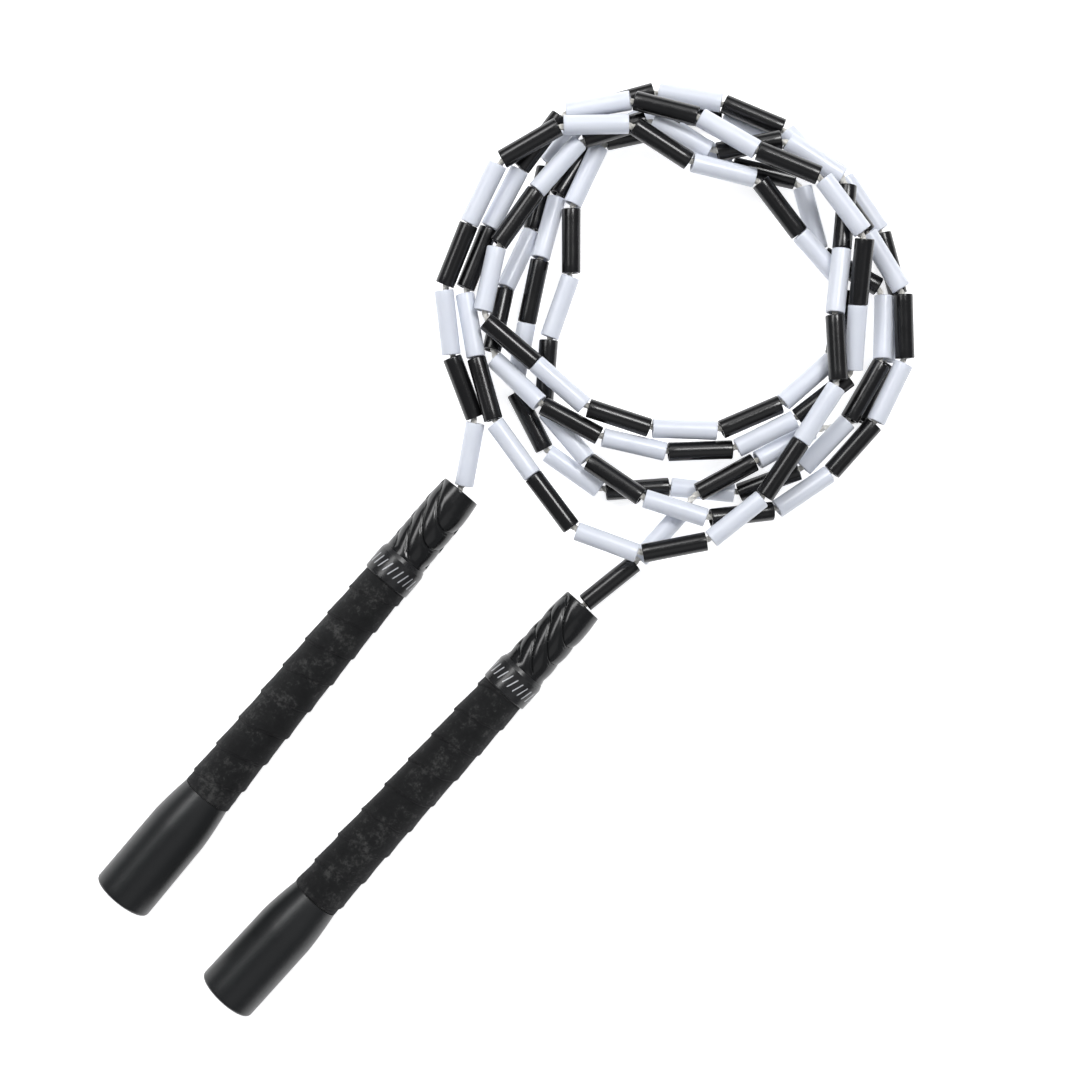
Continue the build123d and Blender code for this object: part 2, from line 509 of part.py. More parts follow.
with BuildPart() as beads_third_pass_white:
    with Locations(*bead_places(37, 51, 2)):
        add(bead_blank.part)
beads_third_pass_white.part.label = "beads_third_pass_white"
export_step(beads_third_pass_white.part, "parts/beads_third_pass_white.step")

with BuildPart() as beads_third_pass_black:
    with Locations(*bead_places(36, 52, 2)):
        add(bead_blank.part)
beads_third_pass_black.part.label = "beads_third_pass_black"
export_step(beads_third_pass_black.part, "parts/beads_third_pass_black.step")

with BuildPart() as beads_fourth_pass_white:
    with Locations(*bead_places(53, 69, 2)):
        add(bead_blank.part)
beads_fourth_pass_white.part.label = "beads_fourth_pass_white"
export_step(beads_fourth_pass_white.part, "parts/beads_fourth_pass_white.step")

with BuildPart() as beads_fourth_pass_black:
    with Locations(*bead_places(54, 70, 2)):
        add(bead_blank.part)
beads_fourth_pass_black.part.label = "beads_fourth_pass_black"
export_step(beads_fourth_pass_black.part, "parts/beads_fourth_pass_black.step")

with BuildPart() as beads_fifth_pass_white:
    with Locations(*bead_places(71, 87, 2)):
        add(bead_blank.part)
beads_fifth_pass_white.part.label = "beads_fifth_pass_white"
export_step(beads_fifth_pass_white.part, "parts/beads_fifth_pass_white.step")

with BuildPart() as beads_fifth_pass_black:
    with Locations(*bead_places(72, 86, 2)):
        add(bead_blank.part)
beads_fifth_pass_black.part.label = "beads_fifth_pass_black"
export_step(beads_fifth_pass_black.part, "parts/beads_fifth_pass_black.step")

with BuildPart() as beads_sixth_pass_white:
    with Locations(*bead_places(89, 103, 2)):
        add(bead_blank.part)
beads_sixth_pass_white.part.label = "beads_sixth_pass_white"
export_step(beads_sixth_pass_white.part, "parts/beads_sixth_pass_white.step")

with BuildPart() as beads_sixth_pass_black:
    with Locations(*bead_places(88, 104, 2)):
        add(bead_blank.part)
beads_sixth_pass_black.part.label = "beads_sixth_pass_black"
export_step(beads_sixth_pass_black.part, "parts/beads_sixth_pass_black.step")
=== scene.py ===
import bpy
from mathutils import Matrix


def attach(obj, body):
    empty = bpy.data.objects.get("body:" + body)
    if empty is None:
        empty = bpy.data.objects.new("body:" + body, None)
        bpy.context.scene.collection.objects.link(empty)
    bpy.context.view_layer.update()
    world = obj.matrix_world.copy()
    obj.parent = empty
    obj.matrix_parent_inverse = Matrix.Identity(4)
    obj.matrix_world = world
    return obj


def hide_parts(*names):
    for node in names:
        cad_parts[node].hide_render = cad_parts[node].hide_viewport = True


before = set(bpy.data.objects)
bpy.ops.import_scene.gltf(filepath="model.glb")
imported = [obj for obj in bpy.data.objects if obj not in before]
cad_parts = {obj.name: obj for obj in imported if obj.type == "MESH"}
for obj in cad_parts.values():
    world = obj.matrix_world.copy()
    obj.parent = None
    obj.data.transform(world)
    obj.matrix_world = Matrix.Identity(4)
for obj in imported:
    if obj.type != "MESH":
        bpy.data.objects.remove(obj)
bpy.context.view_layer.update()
import math
import bpy
import bmesh
import numpy as np
from mathutils import Vector, Matrix

# Jump rope. Metres, +Z up, floor at Z = 0. +Y runs from the butts of the
# handles to their tips.

scene = bpy.context.scene
collection = scene.collection

# ------------------------------------------------------------------ camera
camera_data = bpy.data.cameras.new("camera")
camera_data.sensor_fit = 'HORIZONTAL'
camera_data.sensor_width = 36.0
camera_data.lens = 59.406
camera_data.clip_start = 0.01
camera = bpy.data.objects.new("camera", camera_data)
camera.location = (0.003223, 0.112066, 0.720060)
camera.rotation_euler = (0.0, 0.0, math.radians(41.2))
collection.objects.link(camera)
scene.camera = camera

# -------------------------------------------------------------------- cord
ROUTE = [
    (-0.032935, 0.095357, 0.009988), (-0.033206, 0.107452, 0.009833), (-0.040204, 0.119280, 0.010961),
    (-0.047202, 0.131108, 0.012789), (-0.059095, 0.137422, 0.013946), (-0.070987, 0.143736, 0.015802),
    (-0.080874, 0.152798, 0.016978), (-0.090762, 0.161860, 0.018853), (-0.095029, 0.174384, 0.020053),
    (-0.099295, 0.186907, 0.021953), (-0.102683, 0.199800, 0.023178), (-0.106071, 0.212693, 0.025102),
    (-0.101508, 0.225739, 0.025652), (-0.096944, 0.238785, 0.026902), (-0.086726, 0.248117, 0.026478),
    (-0.076508, 0.257449, 0.026754), (-0.063114, 0.259704, 0.024891), (-0.049719, 0.261959, 0.023727),
    (-0.037704, 0.268503, 0.021878), (-0.025688, 0.275048, 0.020729), (-0.012469, 0.272661, 0.018908),
    (0.000750, 0.270275, 0.017787), (0.014411, 0.268745, 0.016404), (0.028073, 0.267215, 0.015721),
    (0.035632, 0.254950, 0.015564), (0.043192, 0.242685, 0.016107), (0.041355, 0.229051, 0.016001),
    (0.039519, 0.215417, 0.016595), (0.033724, 0.203230, 0.016546), (0.027929, 0.191042, 0.017197),
    (0.017517, 0.182506, 0.017207), (0.007105, 0.173969, 0.017918), (-0.005227, 0.168670, 0.017989),
    (-0.017559, 0.163371, 0.018761), (-0.030713, 0.163301, 0.018883), (-0.043868, 0.163231, 0.019706),
    (-0.057799, 0.163005, 0.019878), (-0.071730, 0.162780, 0.020750), (-0.078638, 0.175334, 0.020441),
    (-0.085546, 0.187888, 0.020831), (-0.086894, 0.201066, 0.020045), (-0.088242, 0.214243, 0.019960),
    (-0.088262, 0.227645, 0.019206), (-0.088282, 0.241046, 0.019152), (-0.080899, 0.253090, 0.018574),
    (-0.073515, 0.265134, 0.018696), (-0.059618, 0.268341, 0.018697), (-0.045720, 0.271547, 0.019397),
    (-0.036953, 0.282763, 0.019429), (-0.028186, 0.293978, 0.020161), (-0.013599, 0.295958, 0.020147),
    (0.000988, 0.297937, 0.020834), (0.009081, 0.286630, 0.021700), (0.017174, 0.275323, 0.023266),
    (0.024432, 0.264645, 0.024148), (0.031690, 0.253966, 0.025729), (0.041141, 0.244223, 0.025580),
    (0.050593, 0.234480, 0.026130), (0.052563, 0.221241, 0.025029), (0.054533, 0.208003, 0.024629),
    (0.056253, 0.195061, 0.023554), (0.057973, 0.182119, 0.023178), (0.055610, 0.168802, 0.022145),
    (0.053246, 0.155485, 0.021812), (0.044803, 0.144613, 0.020818), (0.036361, 0.133741, 0.020524),
    (0.023434, 0.128726, 0.019568), (0.010508, 0.123711, 0.019312), (-0.002548, 0.126480, 0.018395),
    (-0.015604, 0.129249, 0.018178), (-0.028373, 0.132227, 0.017299), (-0.041142, 0.135205, 0.017120),
    (-0.052176, 0.142425, 0.016262), (-0.063209, 0.149646, 0.016103), (-0.073681, 0.158016, 0.015413),
    (-0.084152, 0.166386, 0.015424), (-0.088632, 0.179039, 0.015278), (-0.093111, 0.191693, 0.015832),
    (-0.096129, 0.204369, 0.016086), (-0.099147, 0.217046, 0.017040), (-0.099946, 0.230677, 0.018058),
    (-0.100746, 0.244308, 0.019776), (-0.091743, 0.254739, 0.021628), (-0.082740, 0.265170, 0.024179),
    (-0.070698, 0.270938, 0.025255), (-0.058656, 0.276706, 0.027031), (-0.045753, 0.279064, 0.027580),
    (-0.032850, 0.281422, 0.028830), (-0.020117, 0.285509, 0.029401), (-0.007384, 0.289595, 0.030672),
    (0.006359, 0.286832, 0.029813), (0.020102, 0.284068, 0.029654), (0.028133, 0.273488, 0.026673),
    (0.036163, 0.262908, 0.024393), (0.044573, 0.252434, 0.021440), (0.052983, 0.241961, 0.019187),
    (0.050382, 0.228422, 0.017284), (0.047780, 0.214882, 0.016080), (0.042656, 0.202317, 0.014966),
    (0.037531, 0.189751, 0.014551), (0.027754, 0.180523, 0.014589), (0.017977, 0.171296, 0.015327),
    (0.006302, 0.164971, 0.015531), (-0.005373, 0.158645, 0.016436), (-0.018621, 0.155643, 0.015837),
    (-0.031868, 0.152640, 0.015938), (-0.045832, 0.153445, 0.013733), (-0.059796, 0.154249, 0.012229),
    (-0.066607, 0.166336, 0.009804), (-0.073418, 0.178423, 0.008080), (-0.077158, 0.190958, 0.005670),
    (-0.080898, 0.203493, 0.003960), (-0.087476, 0.215258, 0.003610), (-0.094055, 0.227024, 0.003960),
    (-0.094837, 0.240839, 0.004734), (-0.095619, 0.254655, 0.006209), (-0.087770, 0.266028, 0.006956),
    (-0.079921, 0.277401, 0.008403), (-0.068258, 0.284164, 0.009049), (-0.056594, 0.290928, 0.010396),
    (-0.043832, 0.294964, 0.010768), (-0.031071, 0.299001, 0.011840), (-0.017872, 0.297309, 0.011988),
    (-0.004674, 0.295618, 0.012835), (0.007995, 0.292294, 0.013114), (0.020664, 0.288970, 0.014092),
    (0.033604, 0.284955, 0.013717), (0.046543, 0.280940, 0.014041), (0.056038, 0.270918, 0.012899),
    (0.065534, 0.260897, 0.012457), (0.069203, 0.247913, 0.011344), (0.072872, 0.234929, 0.010931),
    (0.072810, 0.221624, 0.009843), (0.072748, 0.208318, 0.009455), (0.069254, 0.195314, 0.010333),
    (0.065760, 0.182310, 0.011911), (0.056698, 0.172277, 0.013721), (0.047635, 0.162244, 0.016231),
    (0.035246, 0.156787, 0.015467), (0.022858, 0.151330, 0.015404), (0.009773, 0.149882, 0.012801),
    (-0.003312, 0.148434, 0.010899), (-0.016902, 0.150568, 0.009084), (-0.030491, 0.152702, 0.007969),
    (-0.038761, 0.163759, 0.008274), (-0.047031, 0.174816, 0.009279), (-0.051980, 0.187190, 0.009593),
    (-0.056929, 0.199564, 0.010608), (-0.065803, 0.209743, 0.010931), (-0.074676, 0.219922, 0.011954),
    (-0.078653, 0.233511, 0.011364), (-0.082630, 0.247099, 0.011474), (-0.073961, 0.258764, 0.010732),
    (-0.065291, 0.270428, 0.010690), (-0.051519, 0.272406, 0.010112), (-0.037746, 0.274384, 0.010233),
    (-0.025191, 0.281186, 0.009684), (-0.012635, 0.287989, 0.009835), (-0.000392, 0.279779, 0.009321),
    (0.011851, 0.271570, 0.009506), (0.026307, 0.274448, 0.009279), (0.040763, 0.277326, 0.009753),
    (0.049837, 0.266163, 0.010428), (0.058911, 0.255000, 0.011804), (0.061505, 0.241767, 0.011683),
    (0.064099, 0.228534, 0.012261), (0.063604, 0.215105, 0.010999), (0.063108, 0.201676, 0.010437),
    (0.056693, 0.189857, 0.007411), (0.050278, 0.178037, 0.005084), (0.039354, 0.170277, 0.004172),
    (0.028430, 0.162517, 0.003960), (0.018824, 0.152849, 0.003905), (0.009218, 0.143181, 0.004551),
    (-0.004637, 0.141724, 0.004505), (-0.018492, 0.140268, 0.005158), (-0.031412, 0.145419, 0.005129),
    (-0.044332, 0.150569, 0.005799), (-0.051099, 0.162165, 0.006349), (-0.057866, 0.173761, 0.007598),
    (-0.064149, 0.185034, 0.008320), (-0.070432, 0.196306, 0.009741), (-0.076238, 0.208128, 0.008374),
    (-0.082043, 0.219950, 0.007706), (-0.084300, 0.233288, 0.005680), (-0.086558, 0.246627, 0.004353),
    (-0.081066, 0.259439, 0.003865), (-0.075574, 0.272251, 0.004077), (-0.064237, 0.279551, 0.003669),
    (-0.052899, 0.286851, 0.003960), (-0.040990, 0.292464, 0.003610), (-0.029081, 0.298077, 0.003960),
    (-0.015189, 0.300288, 0.003610), (-0.001298, 0.302499, 0.003960), (0.011749, 0.299035, 0.003610),
    (0.024796, 0.295570, 0.003960), (0.036042, 0.288022, 0.003610), (0.047288, 0.280474, 0.003960),
    (0.053965, 0.268765, 0.003610), (0.060641, 0.257057, 0.003960), (0.064252, 0.243437, 0.004306),
    (0.067863, 0.229817, 0.005353), (0.056489, 0.217778, 0.009030), (0.051736, 0.204831, 0.010424),
    (0.046984, 0.191883, 0.012518), (0.042205, 0.178940, 0.012079), (0.037426, 0.165996, 0.012341),
    (0.038478, 0.159897, 0.007976), (0.038241, 0.145757, 0.008085), (0.038004, 0.131617, 0.008893),
    (0.035602, 0.118215, 0.009015), (0.033199, 0.104813, 0.009838), (0.032936, 0.093067, 0.009988),
]
# places in the route that are the middles of beads 1 to 104
BEAD_MIDDLES = [
    2, 4, 6, 8, 10, 12, 14, 16, 18, 20, 22, 24, 26,
    28, 30, 32, 34, 36, 38, 40, 42, 44, 46, 48, 50, 52,
    54, 56, 58, 60, 62, 64, 66, 68, 70, 72, 74, 76, 78,
    80, 82, 84, 86, 88, 90, 92, 94, 96, 98, 100, 102, 104,
    106, 108, 110, 112, 114, 116, 118, 120, 122, 124, 126, 128, 130,
    132, 134, 136, 138, 140, 142, 144, 146, 148, 150, 152, 154, 156,
    158, 160, 162, 164, 166, 168, 170, 172, 174, 176, 178, 180, 182,
    184, 186, 188, 190, 192, 194, 196, 198, 200, 203, 205, 208, 210,
]
# how far each bead has slid along the cord from the middle of its run
BEAD_SLIDES = [
    -0.00002, 0.00030, -0.00025, 0.00043, -0.00053, 0.00010, -0.00009, 0.00026,
    -0.00036, 0.00061, -0.00088, 0.00026, 0.00039, -0.00013, 0.00016, -0.00012,
    0.00038, -0.00116, 0.00078, 0.00030, -0.00045, -0.00027, 0.00013, -0.00010,
    -0.00038, 0.00115, -0.00016, -0.00044, 0.00062, -0.00029, -0.00018, -0.00006,
    -0.00004, 0.00056, -0.00032, 0.00025, -0.00046, 0.00045, -0.00007, -0.00061,
    0.00038, 0.00014, 0.00014, -0.00039, -0.00023, 0.00072, -0.00087, 0.00069,
    -0.00024, 0.00018, -0.00002, -0.00002, -0.00076, 0.00084, -0.00005, -0.00019,
    -0.00021, 0.00023, 0.00022, -0.00021, 0.00030, 0.00006, -0.00045, 0.00003,
    0.00020, -0.00002, -0.00018, 0.00001, 0.00013, 0.00006, -0.00054, 0.00055,
    -0.00007, -0.00010, -0.00054, 0.00016, 0.00046, -0.00083, 0.00037, -0.00037,
    0.00069, 0.00025, -0.00023, -0.00000, 0.00030, -0.00052, 0.00021, -0.00019,
    0.00065, -0.00014, -0.00012, -0.00030, -0.00001, 0.00047, -0.00015, -0.00014,
    0.00009, -0.00013, 0.00020, -0.00083, 0.00026, -0.00064, 0.00052, 0.00016,
]
TIP_LEFT = (-0.033177, 0.106153, 0.009850)
AXIS_LEFT = (0.022389, -0.999667, 0.012839)
TIP_RIGHT = (0.033178, 0.103864, 0.009850)
AXIS_RIGHT = (-0.022406, -0.999667, 0.012839)

line_data = bpy.data.curves.new("cord_line", 'CURVE')
line_data.dimensions = '3D'
line_data.resolution_u = 24
spline = line_data.splines.new('NURBS')
spline.points.add(len(ROUTE) - 1)
for point, place in zip(spline.points, ROUTE):
    point.co = (place[0], place[1], place[2], 1.0)
spline.order_u = 3
spline.use_endpoint_u = True
line_object = bpy.data.objects.new("cord_line", line_data)
collection.objects.link(line_object)
bpy.context.view_layer.update()
line_mesh = bpy.data.meshes.new_from_object(line_object)
line = np.array([v.co[:] for v in line_mesh.vertices])
bpy.data.objects.remove(line_object)
bpy.data.meshes.remove(line_mesh)


def unit(v):
    return v / np.linalg.norm(v)


def mesh_object(name, vertices, faces, body, smooth=True, sharp_angle=None):
    me = bpy.data.meshes.new(name)
    me.from_pydata([tuple(v) for v in vertices], [], faces)
    me.update()
    bm = bmesh.new()
    bm.from_mesh(me)
    bmesh.ops.recalc_face_normals(bm, faces=bm.faces)
    if sharp_angle is not None:
        limit = math.radians(sharp_angle)
        for edge in bm.edges:
            if len(edge.link_faces) == 2 and edge.calc_face_angle(0.0) > limit:
                edge.smooth = False
    bm.to_mesh(me)
    bm.free()
    for polygon in me.polygons:
        polygon.use_smooth = smooth
    ob = bpy.data.objects.new(name, me)
    collection.objects.link(ob)
    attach(ob, body)
    return ob


def frames_along(points):
    """Tangents and two cross directions carried along a line without twist."""
    tangents = np.gradient(points, axis=0)
    tangents /= np.linalg.norm(tangents, axis=1)[:, None]
    side = unit(np.cross(tangents[0], [0.0, 0.0, 1.0]))
    us, vs = [], []
    for t in tangents:
        side = unit(side - t * side.dot(t))
        us.append(side)
        vs.append(np.cross(t, side))
    return tangents, np.array(us), np.array(vs)


def tube_faces(n_rings, n_sides, closed=False):
    faces = []
    for i in range(n_rings if closed else n_rings - 1):
        j = (i + 1) % n_rings
        for k in range(n_sides):
            m = (k + 1) % n_sides
            faces.append((i * n_sides + k, i * n_sides + m, j * n_sides + m, j * n_sides + k))
    return faces


CORD_R = 0.00135
STRANDS = 3
LAY_LENGTH = 0.0088          # length for one full turn of the strands

_, side_u, side_v = frames_along(line)
run = np.concatenate([[0.0], np.cumsum(np.linalg.norm(np.diff(line, axis=0), axis=1))])
N_CORD = 24
strand_r = CORD_R * 0.464
strand_d = CORD_R - strand_r
cord_vertices = []
for i in range(len(line)):
    turn = 2 * math.pi * run[i] / LAY_LENGTH
    for k in range(N_CORD):
        phi = 2 * math.pi * k / N_CORD
        # nearest strand's own circle, as seen from the cord's middle
        rel = (phi * STRANDS / (2 * math.pi)) % 1.0
        off = (rel - 0.5) * 2 * math.pi / STRANDS
        under = strand_r ** 2 - (strand_d * math.sin(off)) ** 2
        r = strand_d * math.cos(off) + math.sqrt(max(under, 0.0))
        r = max(r, 0.70 * CORD_R)
        cord_vertices.append(line[i] + r * (math.cos(phi + turn) * side_u[i] + math.sin(phi + turn) * side_v[i]))
cord_faces = tube_faces(len(line), N_CORD)
cord_faces.append(tuple(range(N_CORD)))
cord_faces.append(tuple(range((len(line) - 1) * N_CORD, len(line) * N_CORD)))
cord = mesh_object("cord_twisted", cord_vertices, cord_faces, "rope", sharp_angle=80)
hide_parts("cord")

# ------------------------------------------------------------------- beads
BEAD_R, BORE_R, BEAD_L = 0.0038, 0.00275, 0.0254
LAST_BEAD_SLIDE = 0.0006     # the last bead is pushed up to the right handle's tip
HANG = 0.000175              # a bead's axis lies this far above the cord in it


def nearest_on_line(place):
    """Point of the cord's own line nearest to a place, between its samples."""
    d = np.linalg.norm(line - place, axis=1)
    i = int(np.argmin(d))
    best, best_d = line[i], d[i]
    for a, b in ((i - 1, i), (i, i + 1)):
        if a < 0 or b >= len(line):
            continue
        ab = line[b] - line[a]
        t = min(1.0, max(0.0, (place - line[a]).dot(ab) / ab.dot(ab)))
        q = line[a] + ab * t
        if np.linalg.norm(q - place) < best_d:
            best, best_d = q, np.linalg.norm(q - place)
    return best


def bead_profile():
    """Closed outline of a bead's wall as (distance along it, radius)."""
    rim, bevel = 0.00042, 0.00022
    outline = []
    for s in range(5):
        a = math.pi / 2 * s / 4
        outline.append((rim * (1 - math.sin(a)), BEAD_R - rim * (1 - math.cos(a))))
    outline.reverse()
    # the barrel is very slightly sunk in the middle, as moulded tube beads are
    for s in range(1, 8):
        x = rim + (BEAD_L - 2 * rim) * s / 8
        outline.append((x, BEAD_R - 0.00003 * math.sin(math.pi * s / 8)))
    for s in range(5):
        a = math.pi / 2 * s / 4
        outline.append((BEAD_L - rim * (1 - math.sin(a)), BEAD_R - rim * (1 - math.cos(a))))
    outline.append((BEAD_L, BORE_R + bevel))
    outline.append((BEAD_L - bevel, BORE_R))
    outline.append((bevel, BORE_R))
    outline.append((0.0, BORE_R + bevel))
    return outline


PROFILE = bead_profile()
N_BEAD = 56


def bead_geometry(start, direction, spin):
    side = unit(np.cross(direction, [0.13, 0.21, 1.0]))
    other = np.cross(direction, side)
    rings = []
    for x, r in PROFILE:
        for k in range(N_BEAD):
            a = 2 * math.pi * k / N_BEAD + spin
            rings.append(start + direction * x + r * (math.cos(a) * side + math.sin(a) * other))
    return rings, tube_faces(len(PROFILE), N_BEAD, closed=True)


def beads_piece(name, first, last, step, node):
    vertices, faces = [], []
    for n in range(first - 1, last, step):
        i = BEAD_MIDDLES[n]
        before, middle, after = (np.array(ROUTE[j]) for j in (i - 1, i, i + 1))
        near = nearest_on_line((before + middle) / 2)
        far = nearest_on_line((middle + after) / 2)
        direction = unit(far - near)
        centre = near + direction * (((before + after) / 2 - near).dot(direction) + BEAD_SLIDES[n])
        if n == 103:
            centre = centre + direction * LAST_BEAD_SLIDE
        centre = centre + np.array([0.0, 0.0, HANG])
        v, f = bead_geometry(centre - direction * BEAD_L / 2, direction, n * 0.7)
        base = len(vertices)
        vertices += v
        faces += [tuple(base + q for q in face) for face in f]
    ob = mesh_object(name, vertices, faces, "rope", sharp_angle=50)
    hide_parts(node)
    return ob


bead_pieces = []
for word, first, last in (("first", 1, 18), ("second", 19, 35), ("third", 36, 52),
                          ("fourth", 53, 70), ("fifth", 71, 87), ("sixth", 88, 104)):
    odd_first = first if first % 2 == 1 else first + 1
    even_first = first if first % 2 == 0 else first + 1
    white = beads_piece("beads_%s_white" % word, odd_first, last, 2, "beads_%s_pass_white" % word)
    black = beads_piece("beads_%s_black" % word, even_first, last, 2, "beads_%s_pass_black" % word)
    bead_pieces += [white, black]

# ----------------------------------------------------------- stop knots
HANDLES = {
    "left": (np.array(TIP_LEFT), np.array(AXIS_LEFT)),
    "right": (np.array(TIP_RIGHT), np.array(AXIS_RIGHT)),
}


def handle_frame(side):
    """Tip, axis, up and right of a handle, seen from above with its tip up."""
    tip, axis = HANDLES[side]
    axis = unit(axis)
    up = unit(np.array([0.0, 0.0, 1.0]) - axis * axis[2])
    right = np.cross(axis, up)
    if right[0] < 0:
        right = -right
    return tip, axis, up, right


knot_pieces = []
for side in ("left", "right"):
    tip, axis, up, right = handle_frame(side)
    centre = tip + axis * 0.0143
    knot_line = []
    for k in range(160):
        t = 2 * math.pi * k / 160
        x = (math.sin(t) + 2 * math.sin(2 * t)) / 3
        y = (math.cos(t) - 2 * math.cos(2 * t)) / 3
        z = -math.sin(3 * t)
        knot_line.append(centre + 0.0020 * (x * up + y * right) + axis * 0.00125 * z)
    knot_line = np.array(knot_line)
    knot_line = np.vstack([knot_line, knot_line[:1]])
    _, ku, kv = frames_along(knot_line)
    kverts = []
    for i in range(160):
        for k in range(14):
            a = 2 * math.pi * k / 14
            r = 0.00118 * (0.93 + 0.07 * math.cos(3 * (a - i * 0.35)))
            kverts.append(knot_line[i] + r * (math.cos(a) * ku[i] + math.sin(a) * kv[i]))
    knot = mesh_object("stop_knot_tied_" + side, kverts, tube_faces(160, 14, closed=True), "rope")
    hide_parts("stop_knot_" + side)
    knot_pieces.append(knot)

# ----------------------------------------------------------------- handles
MM = 0.001
LENGTH = 210.0
NECK_END, RING_END, GRIP_END, SHOULDER_END = 35.0, 47.0, 157.5, 174.5


def revolve(name, side, outline, body, n_sides=128, radius=None, sharp_angle=32, roll=0.0):
    """Closed outline of (distance from the tip, radius) in millimetres turned about a handle's axis."""
    tip, axis, up, right = handle_frame(side)
    vertices = []
    for a, r in outline:
        for k in range(n_sides):
            theta = 2 * math.pi * k / n_sides
            rr = r if radius is None else radius(a, r, theta - roll)
            aa = a
            if isinstance(rr, tuple):
                aa, rr = rr
            vertices.append(tip + MM * (aa * axis + rr * (math.cos(theta) * up + math.sin(theta) * right)))
    return mesh_object(name, vertices, tube_faces(len(outline), n_sides, closed=True), body, sharp_angle=sharp_angle)


# The neck: overlapping scales in two runs round the handle. A crease comes
# down steeply on one side, rounds off low and climbs a little again.
CREASE = [(-180.0, -6.0), (-150.0, -5.2), (-120.0, -3.6), (-85.0, 0.0), (-68.0, 1.6), (-51.0, 3.4),
          (-34.0, 6.9), (-17.5, 10.4), (0.0, 13.1), (13.0, 14.7), (30.0, 15.5), (51.0, 15.2),
          (70.0, 14.4), (95.0, 13.0)]
CREASE_T = np.array([c[0] for c in CREASE if c[0] >= -85.0])
CREASE_A = np.array([c[1] for c in CREASE if c[0] >= -85.0])
CREASE_STEP = 8.97
FIRST_CREASE = 1.0
DEPTH = 0.70


def crease_at(theta_deg):
    """How far down the handle the first crease lies, within a run of 180 degrees."""
    t = (theta_deg + 85.0) % 180.0 - 85.0
    return float(np.interp(t, CREASE_T, CREASE_A))


def neck_crest(a):
    """Radius over the tops of the scales."""
    return float(np.interp(a, [0.5, 3.0, 6.0, 9.5, 20.0, 35.0], [8.36, 8.62, 8.9, 9.08, 9.14, 9.25]))


def neck_radius(a, r, theta):
    if r < 7.0 or a > NECK_END - 0.9 or a < 0.7:
        return r
    deg = math.degrees((theta + math.pi) % (2 * math.pi) - math.pi)
    down = a - FIRST_CREASE - crease_at(deg)
    fade = min(1.0, (a - 0.7) / 1.2, (NECK_END - 0.9 - a) / 1.6)
    phase = down / CREASE_STEP
    if phase < 0.0:
        # smooth collar above the first crease
        near = max(0.0, 1.0 + phase / 0.5)
        dip = DEPTH * near ** 2.2
        dip += 0.22 * math.exp(-(phase / 0.020) ** 2)
    else:
        f = phase % 1.0
        dip = DEPTH * (1.0 - math.sin(math.pi * f) ** 0.6)
        # the crease itself is a fine groove, with a thin step beside it
        dip += 0.22 * math.exp(-(min(f, 1.0 - f) / 0.020) ** 2)
        dip += 0.10 * math.exp(-((f - 0.15) / 0.016) ** 2)
    return r - fade * dip


def neck_outline():
    outline = [(1.6, 2.2), (0.0, 3.4), (0.0, 7.85)]
    for s in range(1, 5):
        q = math.pi / 2 * s / 4
        outline.append((0.5 * (1 - math.cos(q)), 7.85 + 0.5 * math.sin(q)))
    n = 210
    for k in range(1, n):
        a = 0.5 + (NECK_END - 0.5) * k / n
        outline.append((a, neck_crest(a)))
    outline += [(NECK_END, neck_crest(NECK_END)), (NECK_END, 8.6), (60.0, 8.6), (100.0, 8.6), (140.0, 8.6), (GRIP_END, 8.6), (GRIP_END, 10.15)]
    for s in range(1, 17):
        x = s / 16
        outline.append((GRIP_END + (SHOULDER_END - GRIP_END) * x, 10.15 + 2.05 * (1.45 * x - 0.45 * x * x)))
    for s in range(1, 11):
        x = s / 10
        outline.append((SHOULDER_END + (LENGTH - 1.5 - SHOULDER_END) * x, 12.2 + 0.25 * x))
    for s in range(1, 9):
        q = math.pi / 2 * s / 8
        outline.append((LENGTH - 1.5 + 1.5 * math.sin(q), 12.45 - 1.5 * (1 - math.cos(q))))
    outline += [(LENGTH, 9.42), (LENGTH - 5.0, 9.42), (LENGTH - 5.0, 6.2), (150.0, 6.2), (100.0, 6.2),
                (50.0, 6.2), (8.6, 6.2), (8.6, 2.2)]
    return outline


GRIP_PITCH = 13.6


def grip_outline():
    outline = [(47.02, 8.63), (47.02, 9.2)]
    n = 520
    for k in range(n + 1):
        a = 47.05 + (GRIP_END - 0.35 - 47.05) * k / n
        outline.append((a, 9.62 + 0.72 * (a - 47.0) / (GRIP_END - 47.0)))
    outline += [(GRIP_END - 0.1, 9.9), (GRIP_END - 0.1, 8.63), (110.0, 8.63)]
    return outline


def ripple(*terms):
    return sum(amp * math.sin(x) for amp, x in terms)


